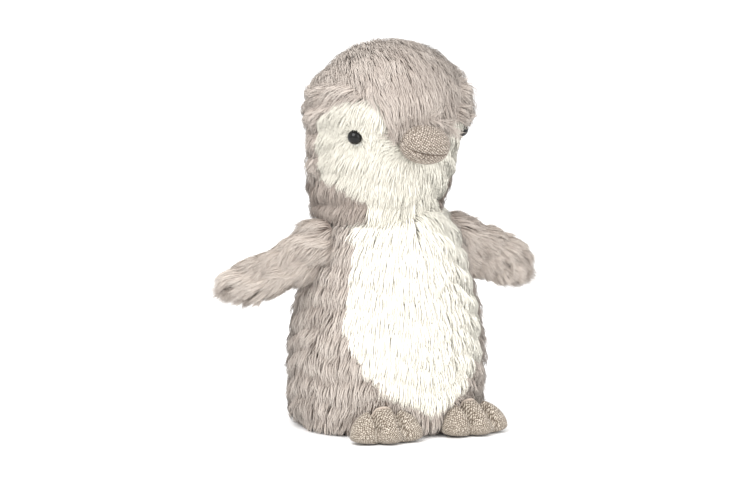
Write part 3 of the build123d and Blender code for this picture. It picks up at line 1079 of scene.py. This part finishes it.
for side, word in ((1, "left"), (-1, "right")):
    for half, turn in (("front", 1), ("back", -1)):
        plush(
            coat(
                f"plush_wing_{half}_{word}",
                wing_surface(side, WING_SKIN),
                wing_half(side, turn),
                wing_flow(side),
                TAUPE,
                count=6600,
                seed=30 + side * 4 + turn,
                lift=3.6,
                length=13.5,
                lock=45,
                spread=0.2,
                gather=0.45,
                tone=even_tone(0.75),
                roundness=3.0,
                curve=140.0,
            ),
            f"wing_{word}",
            "taupe_plush",
            f"wing_{half}_{word}",
            *([f"wing_wadding_{word}"] if half == "front" else []),
        )

    shoulder = coat(
        f"plush_shoulder_{word}",
        wing_surface(side, SHOULDER_SKIN),
        everywhere,
        wing_flow(side),
        TAUPE,
        count=6000,
        seed=50 + side,
        lift=3.8,
        length=13.0,
        spread=0.2,
        curve=140.0,
        tone=even_tone(0.6),
        roundness=2.0,
    )
    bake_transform(shoulder)

# The disc that the penguin stands on, (radius, height) from its middle out
BASE_DISC = [(0.0, 0.4), (20.0, 0.4), (36.5, 0.5), (38.8, 1.0), (39.2, 2.0)]
vertices, faces, _, _ = sheet_patch(turned(BASE_DISC), thickness=1.0)
base = cloth_object("base_disc", vertices, faces, BASE_CLOTH)
plush(base, "torso", "taupe_plush", "base_panel", fill=0.6)

# ---------------------------------------------------------------- beak


def tube(points, radius, corners=8):
    """A closed round tube along points, tapering over a sixth of its length at each end."""
    points = np.asarray(points, float)
    heading = unit(np.gradient(points, axis=0))
    across = unit(np.cross(heading, [0.0, 0.0, 1.0]) + 1e-6)
    above = np.cross(across, heading)
    vertices, faces = [], []
    for k, point in enumerate(points):
        share = k / (len(points) - 1)
        girth = radius * max(0.15, min(1.0, 6 * share, 6 * (1 - share)))
        for corner in range(corners):
            angle = 2 * math.pi * corner / corners
            vertices.append(point + (across[k] * math.cos(angle) + above[k] * math.sin(angle)) * girth)
    for k in range(len(points) - 1):
        for corner in range(corners):
            after = (corner + 1) % corners
            low, high = k * corners, (k + 1) * corners
            faces.append((low + corner, low + after, high + after, high + corner))
    faces.append(tuple(range(corners - 1, -1, -1)))
    faces.append(tuple(range((len(points) - 1) * corners, len(points) * corners)))
    return vertices, faces


for name, high, low, nodes in (
    ("beak_top", BEAK_BACK, MOUTH, ["beak_upper_panel", "beak_wadding"]),
    ("beak_bottom", MOUTH, -BEAK_BACK, ["beak_lower_panel"]),
):
    vertices, faces, _, places = sheet_patch(beak_panel(high, low), across=72, up=72, wrap=False)
    turn = high + (low - high) * places[:, 0]
    reach = np.radians(BEAK_REACH * (2 * places[:, 1] - 1))
    over = BEAK_HALF_DEPTH * np.radians(np.clip(turn, -90, 90)) * np.cos(reach)
    over = over + BEAK_ROOT * beak_into_head(turn) * np.sign(turn)
    cut = np.stack([BEAK_HALF_WIDTH * reach, over], axis=-1)
    piece = cloth_object(name, vertices, faces, BEAK_LINEN, cut)
    plush(piece, "head", "woven_linen", *nodes, fill=0.8)

mouth_line = beak_panel(MOUTH, MOUTH)(np.zeros(60), np.linspace(0.1, 0.9, 60))
dress(cloth_object("mouth_seam", *tube(mouth_line, MOUTH_THREAD_RADIUS), THREAD), "head", "thread")

# ---------------------------------------------------------------- feet


def foot_outline(angle):
    """Distance from the foot's centre to its edge: three round toes on a rounded pad."""
    ray = np.stack([np.sin(angle), -np.cos(angle)], axis=-1)
    pad = 1 / np.sqrt((ray[..., 0] / FOOT_PAD[0]) ** 2 + (ray[..., 1] / FOOT_PAD[1]) ** 2)
    total = pad**FOOT_BLEND
    for x, y in TOES:
        centre = np.array([x - FOOT_CENTRE[0], y - FOOT_CENTRE[1]])
        along = ray @ centre
        inside = TOE_RADIUS**2 - (centre @ centre - along**2)
        reach = np.where(inside > 0, along + np.sqrt(np.maximum(inside, 0)), 0.01)
        total = total + np.maximum(reach, 0.01) ** FOOT_BLEND
    return total ** (1 / FOOT_BLEND)


def foot_surface(side, upper):
    """The padded upper or the sole of a foot, out to the seam round its edge."""
    splay = side * FOOT_SPLAY

    def at(a, b):
        angle = 2 * math.pi * np.asarray(a) * (1 if upper else -1)
        share = np.cos(np.asarray(b) * math.pi / 2)
        x = foot_outline(angle) * share * np.sin(angle) + FOOT_CENTRE[0]
        y = -foot_outline(angle) * share * np.cos(angle) + FOOT_CENTRE[1]
        if upper:
            slope = np.clip(FOOT_TOP + (y - TOE_SLOPE_START) * TOE_SLOPE, TOE_TOP, FOOT_TOP)
            front = np.clip((CREASE_START - y) / CREASE_FADE, 0, 1)
            creases = hump(np.abs(x) - CREASE_SIDE, CREASE_WIDTH) * front * (1 - share**6)
            z = FOOT_EDGE + (slope - FOOT_EDGE) * (1 - share**3) ** 0.5 - CREASE_DEPTH * creases
        else:
            z = FOOT_EDGE - (FOOT_EDGE - FOOT_SOLE) * (1 - share**5) ** 0.5
        turned_x = x * math.cos(splay) - y * math.sin(splay)
        turned_y = x * math.sin(splay) + y * math.cos(splay)
        return np.stack([side * FOOT_X + turned_x, turned_y, z], axis=-1)

    return at


def foot_welt(side):
    """The line of a folded edge over the top of the foot, where it meets the torso."""
    top = foot_surface(side, True)
    angle = np.linspace(WELT_START, WELT_END, 40)
    behind = np.abs(angle - 0.5) / (WELT_END - 0.5)
    line = top(angle, WELT_HIGH - WELT_FALL * behind**2)
    line[:, 2] += WELT_RADIUS / 2
    return line


for side, word in ((1, "left"), (-1, "right")):
    body = f"foot_{word}"
    welt = cloth_object(f"foot_welt_{word}", *tube(foot_welt(side), WELT_RADIUS), WELT)
    dress(welt, body, "woven_linen")
    for name, upper, nodes in (
        ("foot_top", True, [f"foot_upper_{word}", f"foot_wadding_{word}", f"toe_stitching_{word}"]),
        ("foot_under", False, [f"foot_sole_{word}"]),
    ):
        surface = foot_surface(side, upper)
        vertices, faces, _, places = sheet_patch(surface, across=160, up=40, thickness=0.6)
        angle = 2 * math.pi * places[:, 0]
        spread = foot_outline(angle) * FOOT_CUT * (1 - places[:, 1])
        cut = np.stack([spread * np.sin(angle), -spread * np.cos(angle)], axis=-1)
        piece = cloth_object(f"{name}_{word}", vertices, faces, FOOT_LINEN, cut)
        plush(piece, body, "woven_linen", *nodes, fill=0.8)

# ---------------------------------------------------------------- CAD pieces that stay

INSIDE = {
    "neck_stuffing": FILLING,
    "bean_pouch": POUCH,
    "bean_pellets": PELLETS,
    "eye_left": EYE_GLASS,
    "eye_right": EYE_GLASS,
    "eye_washer_left": WASHER,
    "eye_washer_right": WASHER,
}
for name, material in INSIDE.items():
    mesh = frame["nodes"][name].data
    mesh.materials.clear()
    mesh.materials.append(material)

# ---------------------------------------------------------------- stage, light and camera

VIEW_AZIMUTH = math.radians(-28)
VIEW_ELEVATION = math.radians(9)
FRAME_WIDTH = 381.0  # across the picture, at the penguin
DISTANCE = 3600.0
AIM_HEIGHT = 94.6
AIM_LEFT = 5.6

towards = Vector(
    (
        math.sin(VIEW_AZIMUTH) * math.cos(VIEW_ELEVATION),
        -math.cos(VIEW_AZIMUTH) * math.cos(VIEW_ELEVATION),
        math.sin(VIEW_ELEVATION),
    )
)
rightward = Vector((math.cos(VIEW_AZIMUTH), math.sin(VIEW_AZIMUTH), 0.0))
camera_data = bpy.data.cameras.new("camera")
camera = bpy.data.objects.new("camera", camera_data)
bpy.context.scene.collection.objects.link(camera)
camera.location = (Vector((0, 0, AIM_HEIGHT)) - rightward * AIM_LEFT + towards * DISTANCE) * MM
camera.rotation_euler = towards.to_track_quat("Z", "Y").to_euler()
camera_data.sensor_width = 36.0
camera_data.lens = camera_data.sensor_width * DISTANCE / FRAME_WIDTH
camera_data.clip_start = 0.01
bpy.context.scene.camera = camera

FLOOR_HALF = 3.0
floor_mesh = bpy.data.meshes.new("floor")
corners = [(x * FLOOR_HALF, y * FLOOR_HALF, 0) for x, y in ((-1, -1), (1, -1), (1, 1), (-1, 1))]
floor_mesh.from_pydata(corners, [], [(0, 1, 2, 3)])
floor_material, _, floor_shader = new_material("floor", 0.9, specular=0.0)
floor_shader.inputs["Base Color"].default_value = (0.95, 0.95, 0.95, 1)
link("floor", floor_mesh, floor_material)


def area_light(name, azimuth, elevation, distance, size, power):
    """A soft square lamp that looks at the middle of the penguin."""
    data = bpy.data.lights.new(name, "AREA")
    data.size = size
    data.energy = power
    lamp = bpy.data.objects.new(name, data)
    bpy.context.scene.collection.objects.link(lamp)
    a, e = math.radians(azimuth), math.radians(elevation)
    out = Vector((math.sin(a) * math.cos(e), -math.cos(a) * math.cos(e), math.sin(e)))
    lamp.location = Vector((0, 0, 0.1)) + out * distance
    lamp.rotation_euler = out.to_track_quat("Z", "Y").to_euler()


area_light("key", azimuth=-60, elevation=45, distance=1.2, size=0.8, power=10.5)
area_light("fill", azimuth=30, elevation=20, distance=1.4, size=1.0, power=6)

world = bpy.data.worlds.new("studio")
world.use_nodes = True
background = world.node_tree.nodes["Background"]
background.inputs["Color"].default_value = (1, 1, 1, 1)
background.inputs["Strength"].default_value = 1.2
bpy.context.scene.world = world
bpy.context.scene.view_settings.view_transform = "Standard"
